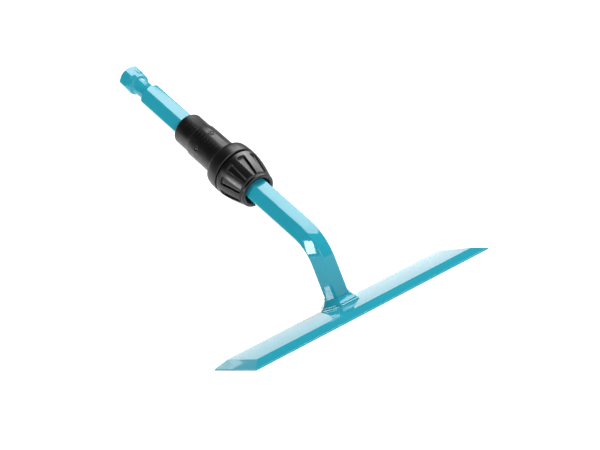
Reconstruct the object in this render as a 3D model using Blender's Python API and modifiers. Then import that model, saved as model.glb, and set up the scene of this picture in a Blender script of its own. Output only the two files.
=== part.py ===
"""Push-pull blade head for a clamp-on tool handle.

A bevelled steel blade, a flared foot, a bent hex bar with a grooved head, and a clamp coupling that
slides on the bar. The origin is the middle of the blade's sole. X runs along the blade, Y to the
rear, where the bar leans, and Z up from the sole.
"""

import math

import bmesh
import bpy
from mathutils import Matrix, Vector

MM = 0.001
GAP = 0.3 * MM                   # between neighbours that touch

# blade
BLADE_TOP_LENGTH = 190.4 * MM
BLADE_TOP_WIDTH = 41.2 * MM
BLADE_THICKNESS = 4.7 * MM
BLADE_LAND = 0.9 * MM            # upright rim under the bevels
END_BEVEL = 7.8 * MM
SIDE_BEVEL = 8.4 * MM

# hex bar
ACROSS_FLATS = 17.0 * MM
BAR_SLOPE = math.radians(40.2)   # the bar's rise above the sole's plane
CORNER_Y = 15.8 * MM             # where the bar's axis meets the neck's axis
CORNER_Z = 50.4 * MM
BEND_RADIUS = 30.0 * MM
BEND_STEPS = 16
HEX_START = 199.5 * MM           # stations along the bar, measured up from the corner
HEAD_START = 213.2 * MM
HEAD_END = 226.6 * MM
GROOVE_RADIUS = 6.4 * MM
HEX_END_RADIUS = 8.3 * MM        # where the hex ends under the groove
HEAD_NECK_RADIUS = 7.7 * MM
HEAD_SHOULDER_RADIUS = 8.55 * MM
HEAD_CHAMFER_RADIUS = 7.8 * MM
CUTTER_RADIUS = 13.0 * MM        # clear of the hex bar's corners
OFF_CORNERS = math.radians(2)    # keeps a round cutter's points off the hex corners

# foot
FOOT_BASE_RADIUS = 14.7 * MM     # across corners, halved
FOOT_PLINTH = 2.4 * MM
FOOT_HEIGHT = 5.7 * MM
FOOT_WALL = 1.1 * MM             # at the foot's thin upper rim
FOOT_RINGS = 4
WELD_LEG = 1.3 * MM

# coupling, stations as on the bar
SLEEVE_TOP = 152.3 * MM
SLEEVE_TOP_ROUND = 2.2 * MM
SLEEVE_STEP = 134.7 * MM
SLEEVE_STEP_SLOPE = 0.3 * MM
UPPER_RADIUS = 12.6 * MM
LOWER_RADIUS = 13.5 * MM
COLLAR_TOP = 103.4 * MM
COLLAR_COVE = 3.0 * MM
COLLAR_SIDE = (                  # radius, distance below the collar's top
    (17.7 * MM, -0.2 * MM),
    (18.4 * MM, 0.8 * MM),
    (18.8 * MM, 3.6 * MM),
    (19.0 * MM, 8.1 * MM),
    (19.0 * MM, 10.2 * MM),
    (18.5 * MM, 10.7 * MM),
)
COLLAR_BOTTOM = COLLAR_TOP - COLLAR_SIDE[-1][1]
SPIGOT_END = 83.0 * MM
SPIGOT_RADIUS = 14.2 * MM
BORE_CLEARANCE = 0.3 * MM
FRICTION_STATION = 146.6 * MM
FRICTION_HEIGHT = 2.4 * MM
FRICTION_RADIUS = 11.5 * MM
RING_GRIP = 0.15 * MM            # between the friction ring and the bar's corners

NUT_TOP = 91.3 * MM
NUT_END = 66.1 * MM
NUT_SIDE = (                     # radius, distance below the nut's top
    (18.5 * MM, 0.0),
    (18.9 * MM, 0.4 * MM),
    (18.6 * MM, 4.0 * MM),
    (17.8 * MM, 9.0 * MM),
    (16.4 * MM, 15.0 * MM),
    (14.6 * MM, 21.0 * MM),
    (13.9 * MM, 23.4 * MM),
)
NUT_LIP_CENTRE = 12.5 * MM
NUT_LIP = 1.3 * MM
NUT_SHOULDER = 71.5 * MM
MOUTH_RADIUS = 10.9 * MM
CONE_SMALL = 12.5 * MM
CONE_LARGE = SPIGOT_RADIUS + GAP
MOUTH_CHAMFER = 0.4 * MM
WIPER_STATION = 68.4 * MM
WIPER_HEIGHT = 1.9 * MM
WIPER_RADIUS = 11.8 * MM
WIPER_GRIP = 0.25 * MM           # between the wiper and the bar's corners
SLIP_WALL = 0.9 * MM
SLIP_SETBACK = 3.2 * MM          # from the spigot, room for the nut to tighten
COLLET_SETBACK = 1.4 * MM        # from the nut's shoulder
SLIT_COUNT = 3                   # each slit crosses the whole collet
SLIT_SIZE = (40.0 * MM, 1.2 * MM, 8.0 * MM)
SLIT_CENTRE = 3.0 * MM           # above the collet's small end
FLUTE_COUNT = 10
FLUTE_TOP = 86.9 * MM
FLUTE_END = 68.9 * MM
FLUTE_TOP_RADIUS = 18.75 * MM
FLUTE_END_RADIUS = 14.35 * MM
FLUTE_DEPTH = 1.7 * MM
FLUTE_END_DEPTH = 1.3 * MM
FLUTE_WIDTH = 6.2 * MM
FLUTE_END_WIDTH = 2.8 * MM
FLUTE_REACH = 3.0 * MM           # of the cutter, past the nut's side
FLUTE_TURN = math.radians(-130)  # about the bar, from +X

BUTTON_STATION = 124.8 * MM
BUTTON_TURNS = (math.radians(-84.8), math.radians(-157.2))
BUTTON_CROWN = LOWER_RADIUS + 0.55 * MM
BUTTON_DOME = (                  # radius, distance below the crown
    (0.8 * MM, 0.08 * MM),
    (1.25 * MM, 0.3 * MM),
    (1.35 * MM, 0.6 * MM),
)
STEM_RADIUS = BUTTON_DOME[-1][0]
FLANGE_RADIUS = 1.95 * MM
FLANGE_HEIGHT = 0.7 * MM
BEZEL_BORE = STEM_RADIUS + 0.2 * MM
BEZEL_RADIUS = 2.5 * MM
BEZEL_TOP = LOWER_RADIUS - 0.1 * MM
BEZEL_SEAT = LOWER_RADIUS - 0.9 * MM
POCKET_CLEARANCE = 0.15 * MM
POCKET_FLOOR = 9.7 * MM          # from the bar's axis
POCKET_REACH = 20.0 * MM
SPRING_RADIUS = 1.35 * MM
SPRING_WIRE = 0.12 * MM          # half the wire, so that the two turns stay clear of each other
SPRING_TURNS = 2
SPRING_POINTS = 21

ROUND_STEPS = 48
NUT_STEPS = 60
SMALL_STEPS = 20
SCREW_MERGE = 0.000005
SMOOTH_ANGLE = math.radians(35)
NUT_SMOOTH_ANGLE = math.radians(30)
CORNER_RADIUS = ACROSS_FLATS / math.sqrt(3)
CUTTER_OVERRUN = 1.0 * MM

TURQUOISE = (0.035, 0.36, 0.44, 1.0)
BLACK = (0.012, 0.012, 0.013, 1.0)
DARK_GREY = (0.05, 0.05, 0.055, 1.0)
STEEL = (0.55, 0.55, 0.56, 1.0)


def clear_scene():
    for item in list(bpy.data.objects):
        bpy.data.objects.remove(item, do_unlink=True)


def collection(name):
    group = bpy.data.collections.new(name)
    bpy.context.scene.collection.children.link(group)
    return group


def material(name, color, roughness, metallic=0.0):
    made = bpy.data.materials.new(name)
    made.use_nodes = True
    shader = made.node_tree.nodes["Principled BSDF"]
    shader.inputs["Base Color"].default_value = color
    shader.inputs["Roughness"].default_value = roughness
    shader.inputs["Metallic"].default_value = metallic
    made.diffuse_color = color
    return made


def place(name, mesh, group, parent=None, location=(0, 0, 0), rotation=(0, 0, 0)):
    item = bpy.data.objects.new(name, mesh)
    group.objects.link(item)
    item.parent = parent
    item.location = location
    item.rotation_euler = rotation
    return item


def finish_mesh(name, bm):
    mesh = bpy.data.meshes.new(name)
    bmesh.ops.recalc_face_normals(bm, faces=bm.faces)
    bm.to_mesh(mesh)
    bm.free()
    return mesh


def smooth(item, angle=SMOOTH_ANGLE):
    item.data.shade_smooth()
    item.data.set_sharp_from_angle(angle=angle)


def hex_body(corner_radius, low, high, top_radius=None):
    """A hex prism or frustum about +Z with two corners over the X axis."""
    bm = bmesh.new()
    bmesh.ops.create_cone(bm, cap_ends=True, segments=6, radius1=corner_radius,
                          radius2=top_radius or corner_radius, depth=high - low,
                          matrix=Matrix.Translation((0, 0, (low + high) / 2)))
    first = min(bm.verts, key=lambda corner: abs(math.atan2(corner.co.y, corner.co.x)))
    offset = math.atan2(first.co.y, first.co.x)
    bmesh.ops.rotate(bm, verts=bm.verts, cent=(0, 0, 0), matrix=Matrix.Rotation(-offset, 3, "Z"))
    return bm


def hex_prism(name, corner_radius, low, high):
    return finish_mesh(name, hex_body(corner_radius, low, high))


def turned(name, profile, group, parent=None, location=(0, 0, 0), rotation=(0, 0, 0), closed=True,
           steps=ROUND_STEPS):
    """A turned shape: (radius, height) points down the outer side, revolved about +Z."""
    bm = bmesh.new()
    corners = [bm.verts.new((radius, 0, height)) for radius, height in profile]
    for first, second in zip(corners, corners[1:]):
        bm.edges.new((first, second))
    if closed:
        bm.edges.new((corners[-1], corners[0]))
    mesh = bpy.data.meshes.new(name)
    bm.to_mesh(mesh)
    bm.free()
    item = place(name, mesh, group, parent, location, rotation)
    screw = item.modifiers.new("turn", "SCREW")
    screw.steps = steps
    screw.render_steps = steps
    screw.use_merge_vertices = True
    screw.merge_threshold = SCREW_MERGE
    screw.use_normal_calculate = False
    return item


def cut(item, cutter):
    step = item.modifiers.new("cut " + cutter.name, "BOOLEAN")
    step.operation = "DIFFERENCE"
    step.object = cutter
    step.solver = "EXACT"


def hide(item):
    item.hide_render = True
    item.display_type = "WIRE"
    return item


def arc(centre_radius, centre_height, size, start, end, count=5):
    """Points on a round corner of a profile, from one angle to another in degrees."""
    points = []
    for step in range(count):
        angle = math.radians(start + (end - start) * step / (count - 1))
        points.append((centre_radius + size * math.cos(angle), centre_height + size * math.sin(angle)))
    return points


def make_blade(parts, paint):
    bm = bmesh.new()
    bmesh.ops.create_cube(bm, size=1.0)
    length = BLADE_TOP_LENGTH + 2 * END_BEVEL
    width = BLADE_TOP_WIDTH + 2 * SIDE_BEVEL
    bmesh.ops.scale(bm, vec=(length, width, BLADE_LAND), verts=bm.verts)
    bmesh.ops.translate(bm, vec=(0, 0, BLADE_LAND / 2), verts=bm.verts)
    top = max(bm.faces, key=lambda face: face.calc_center_median().z)
    raised = bmesh.ops.extrude_face_region(bm, geom=[top])["geom"]
    crown = [part for part in raised if isinstance(part, bmesh.types.BMVert)]
    bmesh.ops.translate(bm, vec=(0, 0, BLADE_THICKNESS - BLADE_LAND), verts=crown)
    bmesh.ops.scale(bm, vec=(BLADE_TOP_LENGTH / length, BLADE_TOP_WIDTH / width, 1), verts=crown)
    bmesh.ops.delete(bm, geom=[top], context="FACES_ONLY")
    blade = place("blade", finish_mesh("blade", bm), parts)
    blade.data.materials.append(paint)


def make_shank(parts, cutters, axis, paint):
    """The neck stands on the blade, the bend turns it back, and the bar runs up to its head."""
    turn = math.pi / 2 - BAR_SLOPE
    tangent = BEND_RADIUS * math.tan(turn / 2)
    foot = BLADE_THICKNESS + GAP
    bend_start = CORNER_Z - tangent
    bm = hex_body(CORNER_RADIUS, foot, bend_start)
    lid = max(bm.faces, key=lambda face: face.calc_center_median().z)
    rim = lid.edges[:]
    bmesh.ops.delete(bm, geom=[lid], context="FACES_ONLY")
    pivot = Vector((0, BEND_RADIUS, bend_start))
    swept = bmesh.ops.spin(bm, geom=rim, cent=pivot, axis=(1, 0, 0), angle=-turn,
                           steps=BEND_STEPS)["geom_last"]
    rim = [part for part in swept if isinstance(part, bmesh.types.BMEdge)]
    grown = bmesh.ops.extrude_edge_only(bm, edges=rim)["geom"]
    along = Vector((0, math.cos(BAR_SLOPE), math.sin(BAR_SLOPE)))
    corners = [part for part in grown if isinstance(part, bmesh.types.BMVert)]
    bmesh.ops.translate(bm, vec=along * (HEAD_END - tangent), verts=corners)
    rim = [part for part in grown if isinstance(part, bmesh.types.BMEdge)]
    rim = [edge for edge in rim if all(corner in corners for corner in edge.verts)]
    bmesh.ops.contextual_create(bm, geom=rim)
    bmesh.ops.translate(bm, vec=(0, CORNER_Y, 0), verts=bm.verts)
    bar = place("shank", finish_mesh("shank", bm), parts)
    bar.data.materials.append(paint)

    groove = [
        (CUTTER_RADIUS, HEAD_START + 6.8 * MM),
        (CUTTER_RADIUS, HEX_START - 7.2 * MM),
        (HEX_END_RADIUS, HEX_START),
        (GROOVE_RADIUS, HEX_START),
        (GROOVE_RADIUS, HEAD_START - 0.8 * MM),
        (GROOVE_RADIUS + 0.8 * MM, HEAD_START),
        (HEAD_NECK_RADIUS, HEAD_START),
        (HEAD_SHOULDER_RADIUS, HEAD_START + 1.0 * MM),
        (HEAD_SHOULDER_RADIUS, HEAD_START + 3.6 * MM),
    ]
    turn = (0, 0, OFF_CORNERS)
    cut(bar, hide(turned("groove_cutter", groove, cutters, axis, rotation=turn)))
    chamfer = [
        (HEAD_CHAMFER_RADIUS, HEAD_END + 0.5 * MM),
        (CUTTER_RADIUS, HEAD_END + 0.5 * MM),
        (CUTTER_RADIUS, HEAD_END - 4.7 * MM),
    ]
    cut(bar, hide(turned("chamfer_cutter", chamfer, cutters, axis, rotation=turn)))


def make_foot(parts, cutters, paint, weld_paint):
    """A flared hex boss round the neck, and the weld bead that holds it on the blade."""
    bottom = BLADE_THICKNESS + GAP
    plinth = bottom + FOOT_PLINTH
    top = bottom + FOOT_HEIGHT
    reach = FOOT_BASE_RADIUS - CORNER_RADIUS - FOOT_WALL
    bm = hex_body(FOOT_BASE_RADIUS, bottom, plinth)
    lid = max(bm.faces, key=lambda face: face.calc_center_median().z)
    for step in range(1, FOOT_RINGS + 1):
        turn = step / FOOT_RINGS * math.pi / 2
        radius = FOOT_BASE_RADIUS - reach * math.sin(turn)
        height = plinth + (top - plinth) * (1 - math.cos(turn))
        grown = bmesh.ops.extrude_face_region(bm, geom=[lid])["geom"]
        bmesh.ops.delete(bm, geom=[lid], context="FACES_ONLY")
        lid = next(part for part in grown if isinstance(part, bmesh.types.BMFace))
        for corner in lid.verts:
            flat = Vector((corner.co.x, corner.co.y)).normalized() * radius
            corner.co = (flat.x, flat.y, height)
    middle = (0, CORNER_Y, 0)
    foot = place("foot", finish_mesh("foot", bm), parts, location=middle)
    foot.data.materials.append(paint)
    socket = hex_prism("foot_socket", CORNER_RADIUS + GAP, 0, 2 * top)
    cut(foot, hide(place("foot_socket", socket, cutters, location=middle)))

    inner = FOOT_BASE_RADIUS + GAP
    bm = hex_body(inner + WELD_LEG, bottom, bottom + WELD_LEG, inner + 0.05 * MM)
    weld = place("foot_weld", finish_mesh("foot_weld", bm), parts, location=middle)
    weld.data.materials.append(weld_paint)
    hollow = hex_prism("weld_hollow", inner, 0, 2 * top)
    cut(weld, hide(place("weld_hollow", hollow, cutters, location=middle)))


def make_sleeve(parts, cutters, slider, plastic):
    """The sleeve enters the handle tube. Its spigot carries the nut, and its hex bore the bar."""
    round_radius = UPPER_RADIUS - SLEEVE_TOP_ROUND
    cove_radius = LOWER_RADIUS + COLLAR_COVE
    profile = [(0.0, SLEEVE_TOP)]
    profile += arc(round_radius, SLEEVE_TOP - SLEEVE_TOP_ROUND, SLEEVE_TOP_ROUND, 90, 0)
    profile += [
        (UPPER_RADIUS, SLEEVE_STEP + SLEEVE_STEP_SLOPE),
        (LOWER_RADIUS, SLEEVE_STEP - SLEEVE_STEP_SLOPE),
    ]
    profile += arc(cove_radius, COLLAR_TOP + 3.4 * MM, COLLAR_COVE, 180, 262)
    profile += [(radius, COLLAR_TOP - below) for radius, below in COLLAR_SIDE]
    profile += [
        (SPIGOT_RADIUS, COLLAR_BOTTOM),
        (SPIGOT_RADIUS, SPIGOT_END),
        (0.0, SPIGOT_END),
    ]
    sleeve = turned("coupling_sleeve", profile, parts, slider, closed=False)
    sleeve.data.materials.append(plastic)
    bore = hex_prism("sleeve_bore", CORNER_RADIUS + BORE_CLEARANCE, SPIGOT_END - CUTTER_OVERRUN,
                     SLEEVE_TOP + CUTTER_OVERRUN)
    cut(sleeve, hide(place("sleeve_bore", bore, cutters, slider)))
    inside = ACROSS_FLATS / 2 - 0.5 * MM
    groove = [
        (inside, FRICTION_STATION + FRICTION_HEIGHT),
        (FRICTION_RADIUS, FRICTION_STATION + FRICTION_HEIGHT),
        (FRICTION_RADIUS, FRICTION_STATION),
        (inside, FRICTION_STATION),
    ]
    cut(sleeve, hide(turned("friction_groove", groove, cutters, slider)))
    for number, angle in enumerate(BUTTON_TURNS, 1):
        pocket = [
            (0.0, POCKET_REACH),
            (BEZEL_RADIUS + POCKET_CLEARANCE, POCKET_REACH),
            (BEZEL_RADIUS + POCKET_CLEARANCE, BEZEL_SEAT - GAP),
            (FLANGE_RADIUS + POCKET_CLEARANCE, BEZEL_SEAT - GAP),
            (FLANGE_RADIUS + POCKET_CLEARANCE, POCKET_FLOOR),
            (0.0, POCKET_FLOOR),
        ]
        cutter = turned("button_pocket_" + str(number), pocket, cutters, slider,
                        (0, 0, BUTTON_STATION), (0, math.pi / 2, angle), closed=False,
                        steps=SMALL_STEPS)
        cut(sleeve, hide(cutter))
    smooth(sleeve)


def ring_profile(inner, outer, low, high):
    return [(inner, high), (outer, high), (outer, low), (inner, low)]


def make_friction_ring(parts, slider, rubber):
    profile = ring_profile(CORNER_RADIUS + RING_GRIP, FRICTION_RADIUS - GAP, FRICTION_STATION + GAP,
                           FRICTION_STATION + FRICTION_HEIGHT - GAP)
    ring = turned("friction_ring", profile, parts, slider)
    ring.data.materials.append(rubber)


def cone_radius(station):
    """The nut's inner cone."""
    share = (station - NUT_SHOULDER) / (SPIGOT_END - NUT_SHOULDER)
    return CONE_SMALL + (CONE_LARGE - CONE_SMALL) * share


def make_collet(parts, cutters, slider, plastic):
    """A cone round the bar, slit from its small end so that its jaws can close."""
    low = NUT_SHOULDER + COLLET_SETBACK
    high = SPIGOT_END - GAP
    inset = SLIP_WALL + 2 * GAP
    profile = [(0, high), (cone_radius(high) - inset, high), (cone_radius(low) - inset, low), (0, low)]
    collet = turned("clamp_collet", profile, parts, slider, closed=False)
    collet.data.materials.append(plastic)
    bore = hex_prism("collet_bore", CORNER_RADIUS + BORE_CLEARANCE, low - CUTTER_OVERRUN,
                     high + CUTTER_OVERRUN)
    cut(collet, hide(place("collet_bore", bore, cutters, slider)))
    for number in range(SLIT_COUNT):
        bm = bmesh.new()
        bmesh.ops.create_cube(bm, size=1.0)
        bmesh.ops.scale(bm, vec=SLIT_SIZE, verts=bm.verts)
        turn = (number + 0.5) * math.pi / SLIT_COUNT
        slit = place("collet_slit_" + str(number + 1), finish_mesh("collet_slit", bm), cutters, slider,
                     (0, 0, low + SLIT_CENTRE), (0, 0, turn))
        cut(collet, hide(slit))


def make_slip_ring(parts, lift, plastic):
    """A cone liner that travels with the nut but doesn't turn, so the jaws aren't twisted."""
    low = NUT_SHOULDER + GAP
    high = SPIGOT_END - SLIP_SETBACK
    outer_low = cone_radius(low) - GAP
    outer_high = cone_radius(high) - GAP
    profile = [
        (outer_high - SLIP_WALL, high),
        (outer_high, high),
        (outer_low, low),
        (outer_low - SLIP_WALL, low),
    ]
    ring = turned("slip_ring", profile, parts, lift)
    ring.data.materials.append(plastic)


def flute_cutter(number, cutters, spin):
    """A tapered scoop, wide near the collar and narrow near the mouth."""
    bm = bmesh.new()
    bmesh.ops.create_cube(bm, size=1.0)
    for corner in bm.verts:
        upper = corner.co.z > 0
        outward = corner.co.x > 0
        radius = FLUTE_TOP_RADIUS if upper else FLUTE_END_RADIUS
        depth = FLUTE_DEPTH if upper else FLUTE_END_DEPTH
        corner.co.x = radius + FLUTE_REACH if outward else radius - depth
        corner.co.y *= FLUTE_WIDTH if upper else FLUTE_END_WIDTH
        corner.co.z = FLUTE_TOP if upper else FLUTE_END
    mesh = finish_mesh("flute", bm)
    turn = FLUTE_TURN + number * 2 * math.pi / FLUTE_COUNT
    return hide(place("flute_" + str(number + 1), mesh, cutters, spin, rotation=(0, 0, turn)))


def make_nut(parts, cutters, spin, plastic):
    profile = [(CONE_LARGE, NUT_TOP)]
    profile += [(radius, NUT_TOP - below) for radius, below in NUT_SIDE]
    profile += arc(NUT_LIP_CENTRE, NUT_END + NUT_LIP, NUT_LIP, 15, -90, 4)
    profile += [
        (MOUTH_RADIUS + MOUTH_CHAMFER, NUT_END),
        (MOUTH_RADIUS, NUT_END + MOUTH_CHAMFER),
        (MOUTH_RADIUS, WIPER_STATION),
        (WIPER_RADIUS, WIPER_STATION),
        (WIPER_RADIUS, WIPER_STATION + WIPER_HEIGHT),
        (MOUTH_RADIUS, WIPER_STATION + WIPER_HEIGHT),
        (MOUTH_RADIUS, NUT_SHOULDER),
        (CONE_SMALL, NUT_SHOULDER),
        (CONE_LARGE, SPIGOT_END),
    ]
    nut = turned("clamp_nut", profile, parts, spin, steps=NUT_STEPS)
    nut.data.materials.append(plastic)
    for number in range(FLUTE_COUNT):
        cut(nut, flute_cutter(number, cutters, spin))
    smooth(nut, NUT_SMOOTH_ANGLE)


def make_wiper(parts, spin, rubber):
    profile = ring_profile(CORNER_RADIUS + WIPER_GRIP, WIPER_RADIUS - GAP, WIPER_STATION + GAP,
                           WIPER_STATION + WIPER_HEIGHT - GAP)
    ring = turned("bar_wiper", profile, parts, spin)
    ring.data.materials.append(rubber)


def make_button(number, angle, parts, slider, plastic, rim_plastic, steel):
    """A spring button, the bezel that keeps it in, and its spring, along local +Z from the bar."""
    frame = bpy.data.objects.new("button_frame_" + str(number), None)
    parts.objects.link(frame)
    frame.parent = slider
    frame.location = (0, 0, BUTTON_STATION)
    frame.rotation_euler = (0, math.pi / 2, angle)

    ledge = BEZEL_SEAT - GAP
    underside = ledge - FLANGE_HEIGHT
    profile = [(0, BUTTON_CROWN)]
    profile += [(radius, BUTTON_CROWN - below) for radius, below in BUTTON_DOME]
    profile += [(STEM_RADIUS, ledge), (FLANGE_RADIUS, ledge), (FLANGE_RADIUS, underside), (0, underside)]
    button = turned("detent_button_" + str(number), profile, parts, frame, closed=False,
                    steps=SMALL_STEPS)
    button.data.materials.append(plastic)
    smooth(button)

    profile = ring_profile(BEZEL_BORE, BEZEL_RADIUS, BEZEL_SEAT, BEZEL_TOP)
    bezel = turned("button_bezel_" + str(number), profile, parts, frame, steps=SMALL_STEPS)
    bezel.data.materials.append(rim_plastic)

    low = POCKET_FLOOR + GAP + SPRING_WIRE
    high = underside - GAP - SPRING_WIRE
    curve = bpy.data.curves.new("button_spring_" + str(number), "CURVE")
    curve.dimensions = "3D"
    curve.bevel_depth = SPRING_WIRE
    curve.bevel_resolution = 1
    curve.use_fill_caps = True
    line = curve.splines.new("POLY")
    line.points.add(SPRING_POINTS - 1)
    for step in range(SPRING_POINTS):
        share = step / (SPRING_POINTS - 1)
        turn = SPRING_TURNS * 2 * math.pi * share
        across = SPRING_RADIUS * math.cos(turn)
        along = SPRING_RADIUS * math.sin(turn)
        line.points[step].co = (across, along, low + (high - low) * share, 1)
    spring = place("button_spring_" + str(number), curve, parts, frame)
    spring.modifiers.new("flat faces", "TRIANGULATE")
    spring.data.materials.append(steel)


def main():
    clear_scene()
    parts = collection("push_pull_blade_head")
    cutters = collection("cutters")
    paint = material("turquoise enamel", TURQUOISE, 0.25)
    weld_paint = material("turquoise enamel on weld", TURQUOISE, 0.35)
    plastic = material("black moulded plastic", BLACK, 0.5)
    hard_plastic = material("grey moulded plastic", DARK_GREY, 0.45)
    rubber = material("black rubber", BLACK, 0.8)
    steel = material("zinc plated steel", STEEL, 0.35, 1.0)

    axis = bpy.data.objects.new("bar_axis", None)
    parts.objects.link(axis)
    axis.location = (0, CORNER_Y, CORNER_Z)
    axis.rotation_euler = (BAR_SLOPE - math.pi / 2, 0, 0)

    make_blade(parts, paint)
    make_foot(parts, cutters, paint, weld_paint)
    make_shank(parts, cutters, axis, paint)
    make_sleeve(parts, cutters, axis, plastic)
    make_friction_ring(parts, axis, rubber)
    make_collet(parts, cutters, axis, hard_plastic)
    make_slip_ring(parts, axis, hard_plastic)
    make_nut(parts, cutters, axis, plastic)
    make_wiper(parts, axis, rubber)
    for number, angle in enumerate(BUTTON_TURNS, 1):
        make_button(number, angle, parts, axis, hard_plastic, plastic, steel)


main()
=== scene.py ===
"""Looks of a push-pull blade head: turquoise enamelled steel, black moulded coupling, small hardware."""

import math

import bmesh
import bpy
from bpy.props import FloatProperty, FloatVectorProperty, IntProperty, PointerProperty, StringProperty
from mathutils import Matrix, Vector


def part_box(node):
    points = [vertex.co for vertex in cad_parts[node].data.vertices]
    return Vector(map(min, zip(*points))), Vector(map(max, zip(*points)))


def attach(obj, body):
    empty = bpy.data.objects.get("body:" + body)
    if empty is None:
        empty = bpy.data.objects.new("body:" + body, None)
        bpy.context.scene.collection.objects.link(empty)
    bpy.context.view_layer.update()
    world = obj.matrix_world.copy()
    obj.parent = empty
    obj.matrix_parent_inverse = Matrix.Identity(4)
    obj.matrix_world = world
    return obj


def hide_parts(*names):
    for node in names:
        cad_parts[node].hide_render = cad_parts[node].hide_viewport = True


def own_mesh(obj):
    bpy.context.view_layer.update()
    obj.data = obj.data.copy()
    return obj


bl_info = {
    "name": "Push-Pull Blade Head",
    "version": (1, 0, 0),
    "blender": (4, 5, 0),
    "location": "3D View > Sidebar > Blade Head",
    "description": "Builds the visible pieces of a push-pull blade head round its packed frame",
    "category": "Object",
}

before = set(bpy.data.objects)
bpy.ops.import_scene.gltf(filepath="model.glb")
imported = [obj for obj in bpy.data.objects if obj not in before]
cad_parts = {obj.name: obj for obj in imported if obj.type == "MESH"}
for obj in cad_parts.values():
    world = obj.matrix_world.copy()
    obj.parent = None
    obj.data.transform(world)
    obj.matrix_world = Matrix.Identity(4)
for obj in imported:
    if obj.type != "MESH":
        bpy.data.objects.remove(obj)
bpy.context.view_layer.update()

MM = 0.001
GAP = 0.3 * MM
BAR_SLOPE = math.radians(40.2)
CORNER_Y = sum(corner.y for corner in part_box("foot")) / 2
CORNER_Z = 50.4 * MM
BEND_RADIUS = 30.0 * MM
BEND_STEPS = 28
BLADE_LAND = 0.9 * MM            # the upright strip under the bevels
END_BEVEL = 7.8 * MM
SIDE_BEVEL = 8.4 * MM
HEAD_LENGTH = 13.4 * MM
GROOVED_LENGTH = 27.1 * MM       # from the hex bar's end to the top of the head
FOOT_PLINTH = 1.4 * MM
FOOT_RINGS = 9
WELD_OVERLAP = 0.5 * MM          # the bead reaches into the foot, so no gap shows
UPPER_RADIUS = 12.6 * MM
SLEEVE_RADIUS = 13.5 * MM
SLEEVE_STEP = 134.7 * MM         # stations along the bar, from the bend's corner
COLLAR_TOP = 103.4 * MM
COLLAR_LENGTH = 10.7 * MM
NUT_STEPS = 160
NUT_VOXEL = 0.3 * MM
FLUTE_WIDE, FLUTE_NARROW = 6.4 * MM, 3.0 * MM
FLUTE_TOP_FLOOR, FLUTE_END_FLOOR = 16.6 * MM, 12.85 * MM     # from the bar's axis
FLUTE_CORNER = 1.1 * MM
BUTTON_STATION = 124.8 * MM
SPRING_COILS = 2
SPRING_RADIUS = 1.35 * MM
SPRING_WIRE = 0.12 * MM
POCKET_FLOOR = 10.0 * MM
ALONG = Vector((0, math.cos(BAR_SLOPE), math.sin(BAR_SLOPE)))
ON_BAR = Matrix.Translation((0, CORNER_Y, CORNER_Z)) @ Matrix.Rotation(BAR_SLOPE - math.pi / 2, 4, "X")
HEX_TURN = math.radians(30)      # a six-sided primitive turned so that two corners lie over X
BUTTON_TURNS = (math.radians(-84.8), math.radians(-157.2))
RIB_TURN = math.radians(-115)
RIB_WIDTH = 3.4 * MM
RIB_FIRST = 144.4 * MM
RIB_PITCH = 3.3 * MM


# ---------------------------------------------------------------- sizes and colours that a user changes

def length(name, description, default):
    return FloatProperty(name=name, description=description, default=default, min=0.0, precision=5,
                         unit="LENGTH", subtype="DISTANCE")


def colour(name, description, default):
    return StringProperty(name=name, description=description + ", as an sRGB hex value", default=default)


class BladeHeadSizes(bpy.types.PropertyGroup):
    across_flats: length("Across flats", "Width of the hex bar", 17.0 * MM)
    edge_round: length("Bar edge", "Rounding of the hex bar's long edges", 0.55 * MM)
    blade_round: length("Blade edge", "Rounding of the blade's edges under the enamel", 0.35 * MM)
    turning_steps: IntProperty(name="Turning steps", description="Faces round a turned piece",
                               default=96, min=24, max=256)
    flute_count: IntProperty(name="Flutes", description="Flutes round the clamp nut",
                             default=10, min=3, max=24)
    grip_ribs: IntProperty(name="Grip ribs", description="Raised ribs along the sleeve", default=11, min=0,
                           max=24)


class BladeHeadColours(bpy.types.PropertyGroup):
    enamel: colour("Enamel", "Turquoise enamel on the steel", "279AAE")
    plastic: colour("Plastic", "Black moulded plastic", "050505")
    inner_plastic: colour("Inner plastic", "Grey plastic of the collet and buttons", "26272A")
    rubber: colour("Rubber", "Black rubber rings", "0C0C0D")
    steel: colour("Steel", "Zinc plated steel", "C9CDD0")
    floor: colour("Floor", "Pale studio floor", "F6F6F6")


class BladeHeadStage(bpy.types.PropertyGroup):
    camera_place: FloatVectorProperty(name="Camera", description="Where the camera stands",
                                      default=(-0.71992, -1.23297, 0.28213), subtype="TRANSLATION",
                                      unit="LENGTH")
    camera_aim: FloatVectorProperty(name="Aim", description="Direction that the camera looks in",
                                    default=(0.49028, 0.85888, -0.14815), subtype="DIRECTION")
    camera_roll: FloatProperty(name="Roll", description="Turn of the camera about its aim",
                               default=math.radians(-21.2), subtype="ANGLE", unit="ROTATION")
    camera_lens: FloatProperty(name="Lens", description="Focal length in millimetres", default=126.07)


# ---------------------------------------------------------------- modelling helpers

def sizes():
    return bpy.context.scene.blade_head_sizes


def start(add, name, **where):
    """Adds a primitive with nothing else selected, and leaves it active."""
    if bpy.context.object and bpy.context.object.mode != "OBJECT":
        bpy.ops.object.mode_set(mode="OBJECT")
    bpy.ops.object.select_all(action="DESELECT")
    add(**where)
    piece = bpy.context.object
    piece.name = name
    piece.data.name = name
    bpy.ops.object.transform_apply(location=True, rotation=True, scale=True)
    return piece


def alone(piece):
    if bpy.context.object and bpy.context.object.mode != "OBJECT":
        bpy.ops.object.mode_set(mode="OBJECT")
    bpy.ops.object.select_all(action="DESELECT")
    piece.select_set(True)
    bpy.context.view_layer.objects.active = piece


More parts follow.
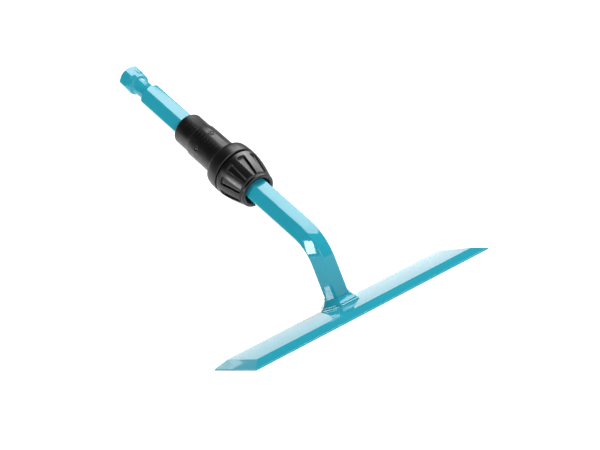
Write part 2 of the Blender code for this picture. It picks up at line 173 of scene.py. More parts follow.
def edit(piece, kind="FACE"):
    alone(piece)
    bpy.ops.object.mode_set(mode="EDIT")
    bpy.ops.mesh.select_mode(type=kind)
    bpy.ops.mesh.select_all(action="DESELECT")


def pick(piece, kind, test):
    """Selects the verts, edges or faces that pass a test, in edit mode."""
    bpy.ops.mesh.select_all(action="DESELECT")
    mesh = bmesh.from_edit_mesh(piece.data)
    mesh.normal_update()
    found = 0
    for part in getattr(mesh, kind):
        if test(part):
            part.select_set(True)
            found += 1
    mesh.select_flush_mode()
    bmesh.update_edit_mesh(piece.data)
    if not found:
        raise RuntimeError(piece.name + ": nothing to select")


def done():
    bpy.ops.object.mode_set(mode="OBJECT")


def modify(piece, kind, **settings):
    """Adds a modifier with its settings and applies it."""
    alone(piece)
    step = piece.modifiers.new(kind.lower(), kind)
    for name, value in settings.items():
        setattr(step, name, value)
    bpy.ops.object.modifier_apply(modifier=step.name)


def carve(piece, cutter):
    modify(piece, "BOOLEAN", operation="DIFFERENCE", solver="EXACT", object=cutter)
    bpy.data.objects.remove(cutter, do_unlink=True)


def soften(piece, width, segments=3, angle=30):
    modify(piece, "BEVEL", width=width, segments=segments, limit_method="ANGLE",
           angle_limit=math.radians(angle), harden_normals=False, use_clamp_overlap=True)


def smooth(piece, angle=35):
    alone(piece)
    bpy.ops.object.shade_smooth_by_angle(angle=math.radians(angle))


def put(piece, matrix):
    """Moves a piece from its modelling place to its real place, in its mesh."""
    alone(piece)
    piece.matrix_world = matrix @ piece.matrix_world
    bpy.ops.object.transform_apply(location=True, rotation=True, scale=True)


def copy_of(model, name):
    """A copy with its own mesh, so that each repeat is a piece of its own."""
    copy = model.copy()
    copy.data = model.data.copy()
    copy.name = copy.data.name = name
    bpy.context.collection.objects.link(copy)
    return copy


def clean(piece):
    edit(piece)
    bpy.ops.mesh.select_all(action="SELECT")
    bpy.ops.mesh.remove_doubles(threshold=0.002 * MM)
    bpy.ops.mesh.normals_make_consistent(inside=False)
    done()


def turn_on_lathe(name, profile, steps=None):
    """A ring drawn out and sized from point to point of a (radius, height) profile, then closed."""
    steps = steps or sizes().turning_steps
    first_radius, first_height = profile[0]
    piece = start(bpy.ops.mesh.primitive_circle_add, name, vertices=steps, radius=first_radius,
                  location=(0, 0, first_height))
    edit(piece, "EDGE")
    bpy.ops.mesh.select_all(action="SELECT")
    radius, height = first_radius, first_height
    for next_radius, next_height in profile[1:]:
        bpy.ops.mesh.extrude_edges_move(TRANSFORM_OT_translate={"value": (0, 0, next_height - height)})
        share = next_radius / radius
        bpy.ops.transform.resize(value=(share, share, 1), center_override=(0, 0, next_height))
        radius, height = next_radius, next_height
    if profile[-1] != profile[0]:
        bpy.ops.mesh.edge_face_add()
        bpy.ops.mesh.select_all(action="DESELECT")
        pick(piece, "edges", lambda edge: edge.is_boundary)
        bpy.ops.mesh.edge_face_add()
    done()
    clean(piece)
    return piece


def rounded(centre_radius, centre_height, size, start_angle, end_angle, count=5):
    points = []
    for step in range(count):
        angle = math.radians(start_angle + (end_angle - start_angle) * step / (count - 1))
        points.append((centre_radius + size * math.cos(angle), centre_height + size * math.sin(angle)))
    return points


def hex_rod(name, corner_radius, low, high):
    return start(bpy.ops.mesh.primitive_cylinder_add, name, vertices=6, radius=corner_radius,
                 depth=high - low, location=(0, 0, (low + high) / 2), rotation=(0, 0, HEX_TURN))


def round_rod(name, radius, low, high, steps=32):
    return start(bpy.ops.mesh.primitive_cylinder_add, name, vertices=steps, radius=radius,
                 depth=high - low, location=(0, 0, (low + high) / 2))


def show(piece, body, slot, finish, *nodes):
    """Gives a finished piece its body and its finish, and hides the frame nodes that it stands for; slot is
    not used.
    """
    piece.data.materials.clear()
    piece.data.materials.append(finish)
    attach(piece, body)
    if nodes:
        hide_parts(*nodes)


# ---------------------------------------------------------------- finishes

def linear(hex_value):
    """An sRGB hex value as the linear colour that a shader takes."""
    channels = [int(hex_value[start:start + 2], 16) / 255 for start in (0, 2, 4)]
    return [c / 12.92 if c <= 0.04045 else ((c + 0.055) / 1.055) ** 2.4 for c in channels] + [1.0]


def add(tree, kind, settings=None, links=None):
    """Adds a node, sets its values and links its sockets."""
    node = tree.nodes.new(kind)
    for name, value in (settings or {}).items():
        if name in node.inputs:
            node.inputs[name].default_value = value
        else:
            setattr(node, name, value)
    for name, source in (links or {}).items():
        tree.links.new(source, node.inputs[name])
    return node


def finish_base(name, **values):
    made = bpy.data.materials.new(name)
    made.use_nodes = True
    shader = made.node_tree.nodes["Principled BSDF"]
    for socket, value in values.items():
        shader.inputs[socket.replace("_", " ")].default_value = value
    return made, made.node_tree, shader


def bar_coordinates(tree):
    """Object coordinates turned so that Z runs along the bar."""
    place = add(tree, "ShaderNodeTexCoord")
    turned = ON_BAR.inverted()
    return add(tree, "ShaderNodeMapping",
               {"Location": turned.to_translation(), "Rotation": turned.to_euler()},
               {"Vector": place.outputs["Object"]})


def mixed(tree, factor, first, second):
    node = add(tree, "ShaderNodeMix", {"data_type": "RGBA"})
    tree.links.new(factor, node.inputs["Factor"])
    node.inputs[6].default_value = first
    node.inputs[7].default_value = second
    return node.outputs[2]


def tint(colour_value, share):
    return [min(1.0, channel * share) for channel in colour_value[:3]] + [1.0]


def enamel_on_steel(name, roughness, ripple):
    """Stoved enamel on forged steel: wet gloss, with a very slight orange peel under it."""
    base = linear(bpy.context.scene.blade_head_colours.enamel)
    made, tree, shader = finish_base(name, IOR=1.42, Roughness=roughness, Metallic=0.0)
    place = add(tree, "ShaderNodeTexCoord").outputs["Object"]
    # 9 mm clouds: the film is thicker where it flowed, so its colour is a little deeper there
    flow = add(tree, "ShaderNodeTexNoise", {"Scale": 110.0, "Detail": 2.0}, {"Vector": place})
    colour_out = mixed(tree, flow.outputs["Fac"], tint(base, 0.95), tint(base, 1.05))
    tree.links.new(colour_out, shader.inputs["Base Color"])
    # 1.2 mm orange peel, 2 microns high
    peel = add(tree, "ShaderNodeTexNoise", {"Scale": 850.0, "Detail": 1.0}, {"Vector": place})
    bump = add(tree, "ShaderNodeBump", {"Strength": ripple, "Distance": 0.00002},
               {"Height": peel.outputs["Fac"]})
    tree.links.new(bump.outputs["Normal"], shader.inputs["Normal"])
    return made


def moulded_plastic(name, hex_value, roughness, grain_mm, grain_height):
    """Injection moulded plastic: fine spark-eroded grain, sheen that breaks up a highlight."""
    base = linear(hex_value)
    made, tree, shader = finish_base(name, IOR=1.5)
    turned = bar_coordinates(tree)
    flow = add(tree, "ShaderNodeTexNoise", {"Scale": 130.0, "Detail": 3.0},
               {"Vector": turned.outputs["Vector"]})
    tree.links.new(mixed(tree, flow.outputs["Fac"], tint(base, 0.85), tint(base, 1.2)),
                   shader.inputs["Base Color"])
    spread = add(tree, "ShaderNodeMapRange",
                 {"From Min": 0.3, "From Max": 0.7, "To Min": roughness - 0.05, "To Max": roughness + 0.05},
                 {"Value": flow.outputs["Fac"]})
    tree.links.new(spread.outputs["Result"], shader.inputs["Roughness"])
    grain = add(tree, "ShaderNodeTexNoise", {"Scale": 1 / (grain_mm * MM), "Detail": 2.0},
                {"Vector": turned.outputs["Vector"]})
    bump = add(tree, "ShaderNodeBump", {"Strength": 0.5, "Distance": grain_height},
               {"Height": grain.outputs["Fac"]})
    tree.links.new(bump.outputs["Normal"], shader.inputs["Normal"])
    return made


def soft_rubber(name):
    """Moulded rubber: matt, slightly dusty black."""
    base = linear(bpy.context.scene.blade_head_colours.rubber)
    made, tree, shader = finish_base(name, IOR=1.52, Roughness=0.75)
    turned = bar_coordinates(tree)
    dust = add(tree, "ShaderNodeTexNoise", {"Scale": 900.0, "Detail": 3.0},
               {"Vector": turned.outputs["Vector"]})
    tree.links.new(mixed(tree, dust.outputs["Fac"], base, tint(base, 2.0)), shader.inputs["Base Color"])
    bump = add(tree, "ShaderNodeBump", {"Strength": 0.4, "Distance": 0.00002},
               {"Height": dust.outputs["Fac"]})
    tree.links.new(bump.outputs["Normal"], shader.inputs["Normal"])
    return made


def zinc_plated_steel(name):
    """Bright zinc on drawn steel: cool grey metal with a faint crystalline mottle."""
    base = linear(bpy.context.scene.blade_head_colours.steel)
    made, tree, shader = finish_base(name, Metallic=1.0)
    place = add(tree, "ShaderNodeTexCoord").outputs["Object"]
    # 0.5 mm spangle, drawn coarser than the real one so that it shows
    spangle = add(tree, "ShaderNodeTexVoronoi", {"Scale": 2000.0}, {"Vector": place})
    tree.links.new(mixed(tree, spangle.outputs["Distance"], tint(base, 0.85), base),
                   shader.inputs["Base Color"])
    spread = add(tree, "ShaderNodeMapRange", {"To Min": 0.25, "To Max": 0.4},
                 {"Value": spangle.outputs["Distance"]})
    tree.links.new(spread.outputs["Result"], shader.inputs["Roughness"])
    return made


FINISHES = {}


def finish(name):
    """Each finish is made once, when the first piece asks for it."""
    hues = bpy.context.scene.blade_head_colours
    makers = {
        "enamel": lambda: enamel_on_steel("turquoise stoved enamel on steel", 0.06, 0.04),
        "sleeve": lambda: moulded_plastic("black glass-filled nylon, fine grain", hues.plastic, 0.36, 0.35,
                                          0.000008),
        "nut": lambda: moulded_plastic("black nylon, polished mould", hues.plastic, 0.32, 0.6, 0.00001),
        "inner": lambda: moulded_plastic("dark grey acetal, machined mould", hues.inner_plastic, 0.38, 0.4,
                                         0.00001),
        "rubber": lambda: soft_rubber("black moulded rubber"),
        "steel": lambda: zinc_plated_steel("zinc plated spring steel"),
    }
    if name not in FINISHES:
        FINISHES[name] = makers[name]()
    return FINISHES[name]


# ---------------------------------------------------------------- operators, one for each piece or group

class BLADEHEAD_OT_blade(bpy.types.Operator):
    """Model the bevelled blade with rounded, enamelled edges"""
    bl_idname = "blade_head.blade"
    bl_label = "Blade"

    def execute(self, context):
        low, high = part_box("blade")
        size = high - low
        piece = start(bpy.ops.mesh.primitive_cube_add, "enamelled_blade", size=1.0,
                      location=(0, 0, BLADE_LAND / 2), scale=(size.x, size.y, BLADE_LAND))
        edit(piece)
        pick(piece, "faces", lambda face: face.normal.z > 0.9)
        bpy.ops.mesh.extrude_region_move(TRANSFORM_OT_translate={"value": (0, 0, high.z - BLADE_LAND)})
        share = (1 - 2 * END_BEVEL / size.x, 1 - 2 * SIDE_BEVEL / size.y, 1)
        bpy.ops.transform.resize(value=share, center_override=(0, 0, high.z))
        done()
        clean(piece)
        soften(piece, sizes().blade_round, segments=3, angle=10)
        smooth(piece, 12)
        show(piece, "blade_head", "enamel", finish("enamel"), "blade")
        return {"FINISHED"}


class BLADEHEAD_OT_shank(bpy.types.Operator):
    """Draw the hex bar out of its neck, bend it, and turn its grooved head"""
    bl_idname = "blade_head.shank"
    bl_label = "Shank"

    def execute(self, context):
        size = sizes()
        low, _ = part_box("shank")
        corner_radius = size.across_flats / math.sqrt(3)
        turn = math.pi / 2 - BAR_SLOPE
        tangent = BEND_RADIUS * math.tan(turn / 2)
        bend_start = CORNER_Z - tangent
        top = max((vert.co - Vector((0, CORNER_Y, CORNER_Z))).dot(ALONG)
                  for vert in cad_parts["shank"].data.vertices)
        piece = start(bpy.ops.mesh.primitive_circle_add, "hex_shank", vertices=6, radius=corner_radius,
                      fill_type="NGON", location=(0, CORNER_Y, low.z), rotation=(0, 0, HEX_TURN))
        edit(piece, "VERT")
        bpy.ops.mesh.select_all(action="SELECT")
        bpy.ops.mesh.bevel(offset=size.edge_round, segments=4, affect="VERTICES")
        bpy.ops.mesh.select_all(action="SELECT")
        bpy.ops.mesh.extrude_region_move(TRANSFORM_OT_translate={"value": (0, 0, bend_start - low.z)})
        pick(piece, "faces", lambda face: face.calc_center_median().z > bend_start - 0.01 * MM)
        bpy.ops.mesh.spin(steps=BEND_STEPS, angle=turn, axis=(1, 0, 0),
                          center=(0, CORNER_Y + BEND_RADIUS, bend_start))
        bpy.ops.mesh.extrude_region_move(TRANSFORM_OT_translate={"value": ALONG * (top - tangent)})
        done()
        clean(piece)
        wide = 13.0 * MM
        head, hex_end = top - HEAD_LENGTH, top - GROOVED_LENGTH
        cutter = turn_on_lathe("groove_tool", [
            (wide, head + 6.8 * MM), (wide, hex_end - 7.2 * MM), (8.3 * MM, hex_end), (6.9 * MM, hex_end),
            (6.5 * MM, hex_end + 0.15 * MM), (6.4 * MM, hex_end + 0.5 * MM), (6.4 * MM, head - 1.0 * MM),
            (6.6 * MM, head - 0.4 * MM), (7.1 * MM, head), (7.8 * MM, head), (8.4 * MM, head + 0.5 * MM),
            (8.6 * MM, head + 1.2 * MM), (8.6 * MM, head + 3.6 * MM), (wide, head + 6.8 * MM)], 128)
        put(cutter, ON_BAR)
        carve(piece, cutter)
        cutter = turn_on_lathe("chamfer_tool", [
            (7.8 * MM, top + 0.5 * MM), (wide, top + 0.5 * MM), (wide, top - 4.7 * MM),
            (7.8 * MM, top + 0.5 * MM)], 128)
        put(cutter, ON_BAR)
        carve(piece, cutter)
        clean(piece)
        smooth(piece, 22)
        show(piece, "blade_head", "enamel", finish("enamel"), "shank")
        return {"FINISHED"}


class BLADEHEAD_OT_foot(bpy.types.Operator):
    """Model the flared foot round the neck, and the weld bead on the blade"""
    bl_idname = "blade_head.foot"
    bl_label = "Foot and weld"

    def execute(self, context):
        low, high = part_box("foot")
        corner_radius = sizes().across_flats / math.sqrt(3)
        base = (high.x - low.x) / 2
        bottom = low.z - GAP
        plinth = low.z + FOOT_PLINTH
        piece = start(bpy.ops.mesh.primitive_circle_add, "flared_foot", vertices=6, radius=base,
                      fill_type="NGON", location=(0, CORNER_Y, bottom), rotation=(0, 0, HEX_TURN))
        edit(piece, "VERT")
        bpy.ops.mesh.select_all(action="SELECT")
        bpy.ops.mesh.bevel(offset=0.9 * MM, segments=4, affect="VERTICES")
        bpy.ops.mesh.select_all(action="SELECT")
        bpy.ops.mesh.extrude_region_move(TRANSFORM_OT_translate={"value": (0, 0, plinth - bottom)})
        radius, height = base, plinth
        reach = base - corner_radius - 1.0 * MM
        for step in range(1, FOOT_RINGS + 1):
            rise = step / FOOT_RINGS
            next_radius = base - reach * rise
            next_height = plinth + (high.z - plinth) * rise ** 1.5
            pick(piece, "faces", lambda face: face.calc_center_median().z > height - 0.001 * MM
                 and face.normal.z > 0.9)
            bpy.ops.mesh.extrude_region_move(TRANSFORM_OT_translate={"value": (0, 0, next_height - height)})
            share = next_radius / radius
            bpy.ops.transform.resize(value=(share, share, 1), center_override=(0, CORNER_Y, next_height))
            radius, height = next_radius, next_height
        done()
        clean(piece)
        socket = hex_rod("socket_tool", corner_radius + GAP, 0, 2 * high.z)
        put(socket, Matrix.Translation((0, CORNER_Y, 0)))
        carve(piece, socket)
        clean(piece)
        smooth(piece, 40)
        show(piece, "blade_head", "enamel", finish("enamel"), "foot")

        low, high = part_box("foot_weld")
        leg = high.z - low.z
        inner = base - WELD_OVERLAP
        outer = (high.x - low.x) / 2
        low.z -= GAP
        bead = start(bpy.ops.mesh.primitive_circle_add, "weld_bead", vertices=6, radius=inner,
                     location=(0, CORNER_Y, low.z), rotation=(0, 0, HEX_TURN))
        edit(bead, "VERT")
        bpy.ops.mesh.select_all(action="SELECT")
        bpy.ops.mesh.bevel(offset=1.0 * MM, segments=4, affect="VERTICES")
        bpy.ops.mesh.select_mode(type="EDGE")
        pick(bead, "edges", lambda edge: edge.calc_length() > 4 * MM)
        bpy.ops.mesh.subdivide(number_cuts=24)
        bpy.ops.mesh.select_all(action="SELECT")
        radius, height = inner, low.z
        section = [(outer, low.z), (outer - 0.05 * MM, low.z + 0.3 * leg),
                   (outer - 0.3 * MM, low.z + 0.6 * leg), (inner + 0.55 * MM, low.z + 0.85 * leg),
                   (inner + 0.15 * MM, high.z), (inner, high.z), (inner, low.z)]
        for next_radius, next_height in section:
            bpy.ops.mesh.extrude_edges_move(TRANSFORM_OT_translate={"value": (0, 0, next_height - height)})
            share = next_radius / radius
            bpy.ops.transform.resize(value=(share, share, 1), center_override=(0, CORNER_Y, next_height))
            radius, height = next_radius, next_height
        done()
        clean(bead)
        smooth(bead, 60)
        show(bead, "blade_head", "enamel", finish("enamel"), "foot_weld")
        return {"FINISHED"}


class BLADEHEAD_OT_sleeve(bpy.types.Operator):
    """Turn the moulded sleeve with its flared collar, and add its grip ribs"""
    bl_idname = "blade_head.sleeve"
    bl_label = "Coupling sleeve"

    def execute(self, context):
        size = sizes()
        corner_radius = size.across_flats / math.sqrt(3)
        top, step, collar = station_of("coupling_sleeve", max), SLEEVE_STEP, COLLAR_TOP
        spigot = station_of("coupling_sleeve", min)
        bottom = collar - COLLAR_LENGTH
        upper, lower, bore = UPPER_RADIUS, SLEEVE_RADIUS, 9.0 * MM
        profile = [(bore, top)]
        profile += rounded(upper - 2.2 * MM, top - 2.2 * MM, 2.2 * MM, 90, 0, 8)
        profile += [(upper, step + 0.6 * MM), (upper + 0.1 * MM, step + 0.3 * MM),
                    (lower - 0.1 * MM, step - 0.3 * MM), (lower, step - 0.6 * MM)]
        profile += rounded(lower + 3.0 * MM, collar + 3.4 * MM, 3.0 * MM, 180, 262, 10)
        profile += [(17.7 * MM, collar + 0.2 * MM), (18.2 * MM, collar - 0.3 * MM),
                    (18.4 * MM, collar - 0.9 * MM), (18.8 * MM, collar - 3.6 * MM),
                    (18.95 * MM, collar - 8.1 * MM),
                    (18.95 * MM, bottom + 0.5 * MM), (18.5 * MM, bottom), (14.2 * MM, bottom),
                    (14.2 * MM, spigot), (bore, spigot), (bore, top)]
        piece = turn_on_lathe("grip_sleeve", profile)
        bore_tool = hex_rod("bore_tool", corner_radius + GAP, spigot - MM, top + MM)
        carve(piece, bore_tool)
        ring_low, ring_high = station_of("friction_ring", min) - GAP, station_of("friction_ring", max) + GAP
        carve(piece, turn_on_lathe("ring_groove_tool", [
            (8.0 * MM, ring_high), (11.5 * MM, ring_high), (11.5 * MM, ring_low), (8.0 * MM, ring_low),
            (8.0 * MM, ring_high)]))
        for angle in BUTTON_TURNS:
            pocket = round_rod("pocket_tool", 2.66 * MM, lower - 0.9 * MM - GAP, 20 * MM)
            put(pocket, Matrix.Translation((0, 0, BUTTON_STATION)) @ Matrix.Rotation(angle, 4, "Z")
                @ Matrix.Rotation(math.pi / 2, 4, "Y"))
            carve(piece, pocket)
            well = round_rod("well_tool", 2.1 * MM, 9.7 * MM, 20 * MM)
            put(well, Matrix.Translation((0, 0, BUTTON_STATION)) @ Matrix.Rotation(angle, 4, "Z")
                @ Matrix.Rotation(math.pi / 2, 4, "Y"))
            carve(piece, well)
        clean(piece)
        put(piece, ON_BAR)
        smooth(piece, 32)
        show(piece, "coupling", "black_plastic", finish("sleeve"), "coupling_sleeve")

        rib = start(bpy.ops.mesh.primitive_cube_add, "rib_model", size=1.0,
                    scale=(1.0 * MM, RIB_WIDTH, 1.3 * MM))
        soften(rib, 0.3 * MM, segments=3)
        smooth(rib, 50)
        for number in range(size.grip_ribs):
            station = RIB_FIRST - number * RIB_PITCH
            radius = upper if station > step else lower
            copy = copy_of(rib, "grip_rib_" + str(number + 1))
            put(copy, ON_BAR @ Matrix.Rotation(RIB_TURN, 4, "Z")
                @ Matrix.Translation((radius, 0, station)))
            show(copy, "coupling", "black_plastic", finish("nut"))
        bpy.data.objects.remove(rib, do_unlink=True)
        return {"FINISHED"}


def station_of(node, choose):
    """The lowest or highest station of a node along the bar."""
    corner = Vector((0, CORNER_Y, CORNER_Z))
    return choose((vert.co - corner).dot(ALONG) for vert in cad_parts[node].data.vertices)


class BLADEHEAD_OT_nut(bpy.types.Operator):
    """Turn the clamp nut, scoop its flutes and roll its rim"""
    bl_idname = "blade_head.nut"
    bl_label = "Clamp nut"

    def execute(self, context):
        size = sizes()
        top, end = station_of("clamp_nut", max), station_of("clamp_nut", min)
        spigot, shoulder = top - 8.3 * MM, end + 5.4 * MM
        wiper = end + 2.3 * MM
        mouth = 10.9 * MM
        profile = [(14.5 * MM, top), (18.4 * MM, top), (18.75 * MM, top - 0.15 * MM),
                   (18.9 * MM, top - 0.5 * MM)]
        profile += [(18.82 * MM, top - 2 * MM), (18.6 * MM, top - 4 * MM), (18.25 * MM, top - 6.5 * MM),
                    (17.8 * MM, top - 9 * MM), (17.15 * MM, top - 12 * MM), (16.4 * MM, top - 15 * MM),
                    (15.55 * MM, top - 18 * MM), (14.6 * MM, top - 21 * MM), (14.3 * MM, top - 21.8 * MM),
                    (13.45 * MM, top - 22.2 * MM), (13.35 * MM, top - 22.6 * MM)]
        profile += rounded(12.6 * MM, end + 1.3 * MM, 1.3 * MM, 40, -100, 10)
        profile += [(mouth + 0.35 * MM, end + 0.35 * MM), (mouth, end + 0.9 * MM), (mouth, wiper),
                    (11.8 * MM, wiper), (11.8 * MM, wiper + 1.9 * MM), (mouth, wiper + 1.9 * MM),
                    (mouth, shoulder), (12.5 * MM, shoulder), (14.5 * MM, spigot), (14.5 * MM, top)]
        piece = turn_on_lathe("fluted_nut", profile, NUT_STEPS)
        flute_top, flute_end = top - 4.0 * MM, end + 3.6 * MM
        for number in range(size.flute_count):
            scoop = flute_tool(flute_top, flute_end)
            turn = math.radians(-130) + number * 2 * math.pi / size.flute_count
            put(scoop, Matrix.Rotation(turn, 4, "Z"))
            carve(piece, scoop)
        clean(piece)
        modify(piece, "REMESH", mode="VOXEL", voxel_size=NUT_VOXEL, adaptivity=0.0)
        modify(piece, "SMOOTH", factor=0.5, iterations=2)
        put(piece, ON_BAR)
        alone(piece)
        bpy.ops.object.shade_smooth()
        show(piece, "nut", "black_plastic", finish("nut"), "clamp_nut")
        return {"FINISHED"}


def flute_tool(flute_top, flute_end):
    """A tapered cutter with round corners, wide at the collar end and narrow at the mouth."""
    reach = 3 * MM
    piece = start(bpy.ops.mesh.primitive_cube_add, "scoop", size=1.0,
                  location=(FLUTE_TOP_FLOOR + reach, 0, (flute_top + flute_end) / 2),
                  scale=(2 * reach, FLUTE_WIDE, flute_top - flute_end))
    edit(piece)
    pick(piece, "faces", lambda face: face.normal.z < -0.9)
    bpy.ops.transform.resize(value=(1, FLUTE_NARROW / FLUTE_WIDE, 1), center_override=(0, 0, flute_end))
    bpy.ops.transform.translate(value=(FLUTE_END_FLOOR - FLUTE_TOP_FLOOR, 0, 0))
    done()
    soften(piece, FLUTE_CORNER, segments=4)
    return piece


class BLADEHEAD_OT_rings(bpy.types.Operator):
    """Model the wiper in the nut's mouth, and give the friction ring, the slip ring and the collet their
    finishes
    """
    bl_idname = "blade_head.rings"
    bl_label = "Rings and collet"

    def execute(self, context):
        low, high = station_of("bar_wiper", min), station_of("bar_wiper", max)
        inner = 10.07 * MM
        piece = turn_on_lathe("wiper_ring", [
            (11.1 * MM, high), (11.45 * MM, high - 0.05 * MM), (11.5 * MM, high - 0.2 * MM),
            (11.5 * MM, low + 0.2 * MM), (11.4 * MM, low), (10.7 * MM, low + 0.1 * MM), (inner, low),
            (inner, low + 0.25 * MM), (10.5 * MM, low + 0.65 * MM), (10.6 * MM, high - 0.2 * MM),
            (11.1 * MM, high)])
        put(piece, ON_BAR)
        smooth(piece, 40)
        show(piece, "nut", "rubber", finish("rubber"), "bar_wiper")
        for node, body, slot, look in (("friction_ring", "coupling", "rubber", "rubber"),
                                       ("slip_ring", "nut_thrust", "grey_plastic", "inner"),
                                       ("clamp_collet", "coupling", "grey_plastic", "inner")):
            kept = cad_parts[node]
            kept.data.materials.clear()
            kept.data.materials.append(finish(look))
        return {"FINISHED"}


class BLADEHEAD_OT_buttons(bpy.types.Operator):
    """Model a domed button, its rolled bezel and its coil spring, and copy them round the sleeve"""
    bl_idname = "blade_head.buttons"
    bl_label = "Buttons"

    def execute(self, context):
        lower = SLEEVE_RADIUS
        crown, seat = lower + 0.3 * MM, lower - 0.9 * MM
        ledge = seat - GAP
        under = ledge - 0.7 * MM
        cap = turn_on_lathe("button_cap", [
            (0.25 * MM, crown), (0.6 * MM, crown - 0.04 * MM), (0.95 * MM, crown - 0.14 * MM),
            (1.2 * MM, crown - 0.3 * MM), (1.32 * MM, crown - 0.48 * MM), (1.35 * MM, crown - 0.7 * MM),
            (1.35 * MM, ledge), (1.9 * MM, ledge), (1.95 * MM, ledge - 0.06 * MM), (1.95 * MM, under),
            (0.25 * MM, under)], 40)
        rim = turn_on_lathe("button_rim", [
            (1.75 * MM, lower + 0.3 * MM), (2.2 * MM, lower + 0.32 * MM), (2.42 * MM, lower + 0.2 * MM),
            (2.5 * MM, lower), (2.5 * MM, seat), (1.55 * MM, seat), (1.55 * MM, lower),
            (1.62 * MM, lower + 0.2 * MM), (1.75 * MM, lower + 0.3 * MM)], 40)
        floor, full = POCKET_FLOOR, under - GAP
        coil = start(bpy.ops.mesh.primitive_circle_add, "spring_model", vertices=10, radius=SPRING_WIRE,
                     location=(SPRING_RADIUS, 0, floor + SPRING_WIRE), rotation=(math.pi / 2, 0, 0))
        modify(coil, "SCREW", angle=SPRING_COILS * 2 * math.pi,
               screw_offset=full - floor - 2 * SPRING_WIRE,
               steps=32 * SPRING_COILS, render_steps=32 * SPRING_COILS, use_merge_vertices=False)
        edit(coil, "EDGE")
        bpy.ops.mesh.select_all(action="SELECT")
        bpy.ops.mesh.fill_holes(sides=0)
        done()
        clean(coil)
        for piece in (cap, rim, coil):
            smooth(piece, 40)
        for number, angle in enumerate(BUTTON_TURNS, 1):
            place = (ON_BAR @ Matrix.Translation((0, 0, BUTTON_STATION)) @ Matrix.Rotation(angle, 4, "Z")
                     @ Matrix.Rotation(math.pi / 2, 4, "Y"))
            for model, name, body, slot, look, node in (
                    (cap, "button_dome", "button", "grey_plastic", "inner", "detent_button"),
                    (rim, "button_ring", "coupling", "black_plastic", "nut", "button_bezel"),
                    (coil, "spring_coil", "coupling", "zinc_steel", "steel", "button_spring")):
                copy = copy_of(model, name + "_" + str(number))
                put(copy, place)
                rides = body + "_" + str(number) if body == "button" else body
                show(copy, rides, slot, finish(look), node + "_" + str(number))
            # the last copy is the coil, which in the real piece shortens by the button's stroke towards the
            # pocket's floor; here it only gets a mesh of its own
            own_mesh(copy)
        for model in (cap, rim, coil):
            bpy.data.objects.remove(model, do_unlink=True)
        return {"FINISHED"}


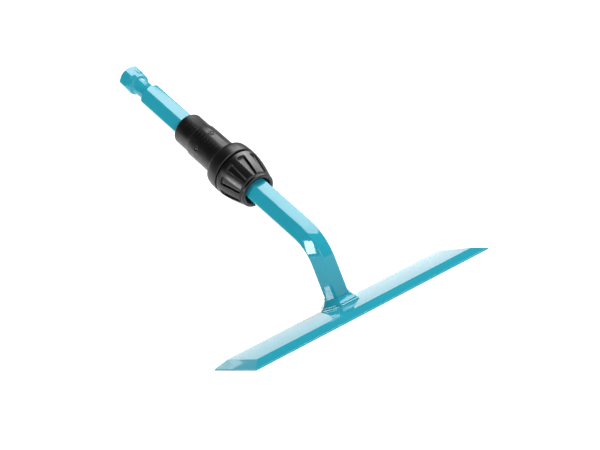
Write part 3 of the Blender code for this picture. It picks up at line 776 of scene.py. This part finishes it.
class BLADEHEAD_OT_stage(bpy.types.Operator):
    """Lay the pale floor, hang the soft lights and set up the camera"""
    bl_idname = "blade_head.stage"
    bl_label = "Stage"

    def execute(self, context):
        stage = context.scene.blade_head_stage
        hues = context.scene.blade_head_colours
        floor = start(bpy.ops.mesh.primitive_plane_add, "studio_floor", size=24.0)
        edit(floor, "EDGE")
        pick(floor, "edges", lambda edge: min(vert.co.y for vert in edge.verts) > 11.9)
        bpy.ops.mesh.extrude_edges_move(TRANSFORM_OT_translate={"value": (0, 0, 6.0)})
        done()
        matt, tree, shader = finish_base("matt white studio board", Roughness=1.0)
        shader.inputs["Base Color"].default_value = linear(hues.floor)
        shader.inputs["Specular IOR Level"].default_value = 0.0
        # painted light: the board glows though it is no lamp, which whitens it and fills the shade under
        # the piece
        shader.inputs["Emission Color"].default_value = (1, 1, 1, 1)
        # the painted glow is faint close round the piece and stronger farther out, as a lit swept backdrop
        # looks
        place = add(tree, "ShaderNodeTexCoord").outputs["Object"]
        away = add(tree, "ShaderNodeVectorMath", {"operation": "LENGTH"})
        tree.links.new(place, away.inputs[0])
        glow = add(tree, "ShaderNodeMapRange",
                   {"From Min": 0.7, "From Max": 3.0, "To Min": 0.3, "To Max": 1.0},
                   {"Value": away.outputs["Value"]})
        tree.links.new(glow.outputs["Result"], shader.inputs["Emission Strength"])
        floor.data.materials.append(matt)

        world = bpy.data.worlds.new("studio")
        context.scene.world = world
        world.use_nodes = True
        backdrop = world.node_tree.nodes["Background"]
        backdrop.inputs["Color"].default_value = (1, 1, 1, 1)
        backdrop.inputs["Strength"].default_value = 0.05

        middle = Vector((0, 0.06, 0.08))
        for name, direction, distance, wide, deep, power in (
                ("overhead softbox", (0.49, -0.19, 0.85), 3.0, 1.95, 1.6, 77.0),
                ("right softbox", (0.81, 0.0, 0.59), 3.0, 1.9, 1.5, 50.0),
                ("left strip", (-0.985, 0.05, 0.165), 3.0, 0.8, 0.75, 42.0),
                ("high back wall", (0.0, 0.81, 0.59), 3.0, 1.9, 1.5, 5.0),
                ("low front fill", (0.0, -0.98, 0.19), 3.0, 2.3, 1.1, 30.0)):
            lamp = bpy.data.lights.new(name, "AREA")
            lamp.shape = "RECTANGLE"
            lamp.size, lamp.size_y = wide, deep
            lamp.energy = power
            holder = bpy.data.objects.new(name, lamp)
            context.scene.collection.objects.link(holder)
            aim = Vector(direction).normalized()
            holder.location = middle + aim * distance
            holder.rotation_euler = aim.to_track_quat("Z", "Y").to_euler()

        camera = bpy.data.cameras.new("camera")
        camera.lens = stage.camera_lens
        camera.sensor_width = 36.0
        camera.clip_end = 40.0
        holder = bpy.data.objects.new("camera", camera)
        context.scene.collection.objects.link(holder)
        aim = Vector(stage.camera_aim).normalized()
        look = aim.to_track_quat("-Z", "Y").to_matrix().to_4x4()
        holder.matrix_world = (Matrix.Translation(stage.camera_place) @ look
                               @ Matrix.Rotation(stage.camera_roll, 4, "Z"))
        context.scene.camera = holder
        context.scene.view_settings.view_transform = "Standard"
        return {"FINISHED"}


OPERATORS = (
    BLADEHEAD_OT_stage,
    BLADEHEAD_OT_blade,
    BLADEHEAD_OT_shank,
    BLADEHEAD_OT_foot,
    BLADEHEAD_OT_sleeve,
    BLADEHEAD_OT_nut,
    BLADEHEAD_OT_rings,
    BLADEHEAD_OT_buttons,
)


class BLADEHEAD_PT_panel(bpy.types.Panel):
    """Lists the steps that build the blade head"""
    bl_idname = "BLADEHEAD_PT_panel"
    bl_label = "Blade Head"
    bl_space_type = "VIEW_3D"
    bl_region_type = "UI"
    bl_category = "Blade Head"

    def draw(self, context):
        for group in (context.scene.blade_head_sizes, context.scene.blade_head_colours,
                      context.scene.blade_head_stage):
            for name in group.__annotations__:
                self.layout.prop(group, name)
        for operator in OPERATORS:
            self.layout.operator(operator.bl_idname)


CLASSES = (BladeHeadSizes, BladeHeadColours, BladeHeadStage, *OPERATORS, BLADEHEAD_PT_panel)


def register():
    for part in CLASSES:
        bpy.utils.register_class(part)
    bpy.types.Scene.blade_head_sizes = PointerProperty(type=BladeHeadSizes)
    bpy.types.Scene.blade_head_colours = PointerProperty(type=BladeHeadColours)
    bpy.types.Scene.blade_head_stage = PointerProperty(type=BladeHeadStage)


def unregister():
    del bpy.types.Scene.blade_head_stage
    del bpy.types.Scene.blade_head_colours
    del bpy.types.Scene.blade_head_sizes
    for part in reversed(CLASSES):
        bpy.utils.unregister_class(part)


def main():
    register()
    for operator in OPERATORS:
        group, name = operator.bl_idname.split(".")
        getattr(getattr(bpy.ops, group), name)()


if __name__ == "__main__":
    main()
